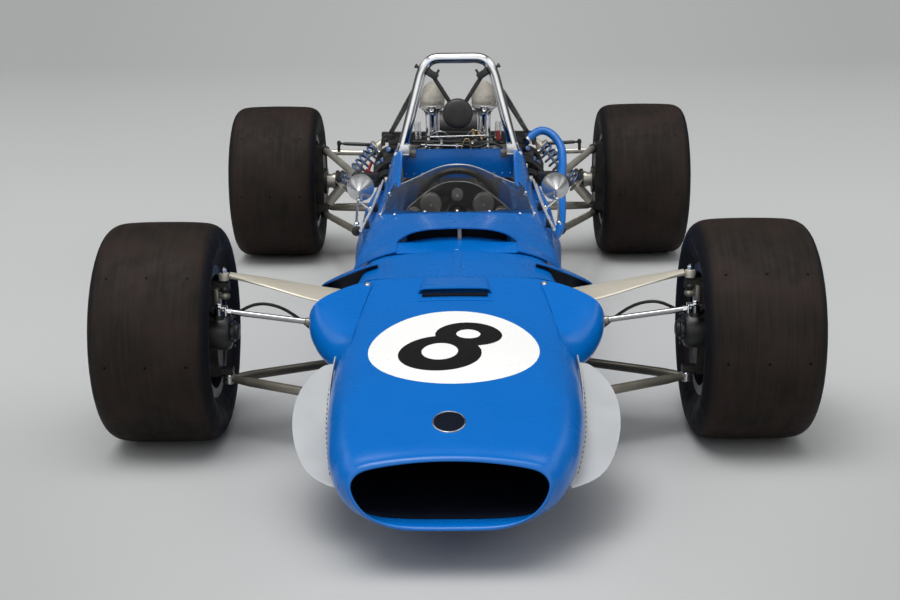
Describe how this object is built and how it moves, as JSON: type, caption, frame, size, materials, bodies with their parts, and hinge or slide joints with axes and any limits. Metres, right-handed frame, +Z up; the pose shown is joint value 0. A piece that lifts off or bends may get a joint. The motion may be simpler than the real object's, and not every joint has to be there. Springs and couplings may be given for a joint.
{
  "type": "open wheel racing car",
  "caption": "Open wheel single-seat racing car with a slim blue riveted body, nose fins, exposed engine, roll hoop and wide smooth tyres.",
  "frame": {"origin": "on the floor under the middle of the car's length and width", "axes": "+Z up, the nose points along -Y, +X is the driver's left"},
  "size_m": [1.973, 3.9564, 0.962],
  "materials": {
    "body_blue": "gloss",
    "screen_clear": "clear",
    "polished_aluminium": "polished",
    "dark_core": "matte",
    "black_trim": "satin",
    "dash_black": "satin",
    "black_leather": "satin",
    "chrome": "polished",
    "black_metal": "satin",
    "blue_hose": "satin",
    "cast_alloy": "cast",
    "mesh_beige": "woven",
    "exhaust_steel": "satin",
    "cast_magnesium": "cast",
    "satin_nickel": "satin",
    "black_rubber": "matte",
    "tyre": "matte",
    "rim_dark": "satin"
  },
  "bodies": {
    "chassis": {"tub": "body_blue", "nose_cone": "body_blue", "front_cover": "body_blue", "cockpit_surround": "body_blue", "windscreen": "screen_clear", "canards": "polished_aluminium", "duct_lips": "body_blue", "radiator": "dark_core", "seat": "black_trim", "dash": "dash_black", "roll_hoop": "chrome", "hoop_braces": "black_metal", "headrest": "black_trim", "mirrors": "polished_aluminium", "side_pipes": "chrome", "coolant_pipe": "blue_hose", "engine_block": "cast_alloy", "cylinder_heads": "cast_alloy", "intake_trumpets": "chrome", "trumpet_screens": "mesh_beige", "exhausts": "exhaust_steel", "gearbox": "cast_alloy", "rear_crossbeam": "satin_nickel", "oil_tank": "black_metal", "rear_uprights": "cast_magnesium", "rear_links": "satin_nickel", "rear_dampers": "black_metal", "front_arms": "satin_nickel", "rack_housing": "cast_magnesium", "brake_hose_left": "black_rubber", "brake_hose_right": "black_rubber"},
    "knuckle_left": {"front_upright_left": "cast_magnesium"},
    "knuckle_right": {"front_upright_right": "cast_magnesium"},
    "rack": {"steering_rack": "chrome"},
    "hand_wheel": {"steering_wheel": "black_leather"},
    "wheel_front_left": {"tyre_front_left": "tyre", "rim_front_left": "rim_dark"},
    "wheel_rear_left": {"tyre_rear_left": "tyre", "rim_rear_left": "rim_dark", "driveshaft_left": "satin_nickel"},
    "wheel_front_right": {"tyre_front_right": "tyre", "rim_front_right": "rim_dark"},
    "wheel_rear_right": {"tyre_rear_right": "tyre", "rim_rear_right": "rim_dark", "driveshaft_right": "satin_nickel"}
  },
  "joints": [
    {"name": "steer_left", "type": "hinge", "parent": "chassis", "child": "knuckle_left", "pos_m": [0.64, -1.0425, 0.305], "axis": [0, 0, 1], "range_deg": [-18, 18], "deforming": ["brake_hose_left"]},
    {"name": "steer_right", "type": "hinge", "parent": "chassis", "child": "knuckle_right", "pos_m": [-0.64, -1.0425, 0.305], "axis": [0, 0, 1], "range_deg": [-18.1, 18.1], "deforming": ["brake_hose_right"]},
    {"name": "rack_slide", "type": "slide", "parent": "chassis", "child": "rack", "axis": [1, 0, 0], "range_m": [-0.032, 0.032]},
    {"name": "hand_wheel_turn", "type": "hinge", "parent": "chassis", "child": "hand_wheel", "pos_m": [0, -0.2125, 0.492], "axis": [0, 0.9864, 0.1644], "range_deg": [-163, 163]},
    {"name": "spin_front_left", "type": "hinge", "parent": "knuckle_left", "child": "wheel_front_left", "pos_m": [0.8, -1.0425, 0.305], "axis": [1, 0, 0], "continuous": true},
    {"name": "spin_rear_left", "type": "hinge", "parent": "chassis", "child": "wheel_rear_left", "pos_m": [0.8, 1.3575, 0.332], "axis": [1, 0, 0], "continuous": true},
    {"name": "spin_front_right", "type": "hinge", "parent": "knuckle_right", "child": "wheel_front_right", "pos_m": [-0.8, -1.0425, 0.305], "axis": [1, 0, 0], "continuous": true},
    {"name": "spin_rear_right", "type": "hinge", "parent": "chassis", "child": "wheel_rear_right", "pos_m": [-0.8, 1.3575, 0.332], "axis": [1, 0, 0], "continuous": true}
  ],
  "couplings": [
    {"joint": "steer_right", "follows": "steer_left", "ratio": 1},
    {"joint": "rack_slide", "follows": "steer_left", "m_per_rad": 0.09836},
    {"joint": "hand_wheel_turn", "follows": "steer_left", "ratio": 9}
  ]
}
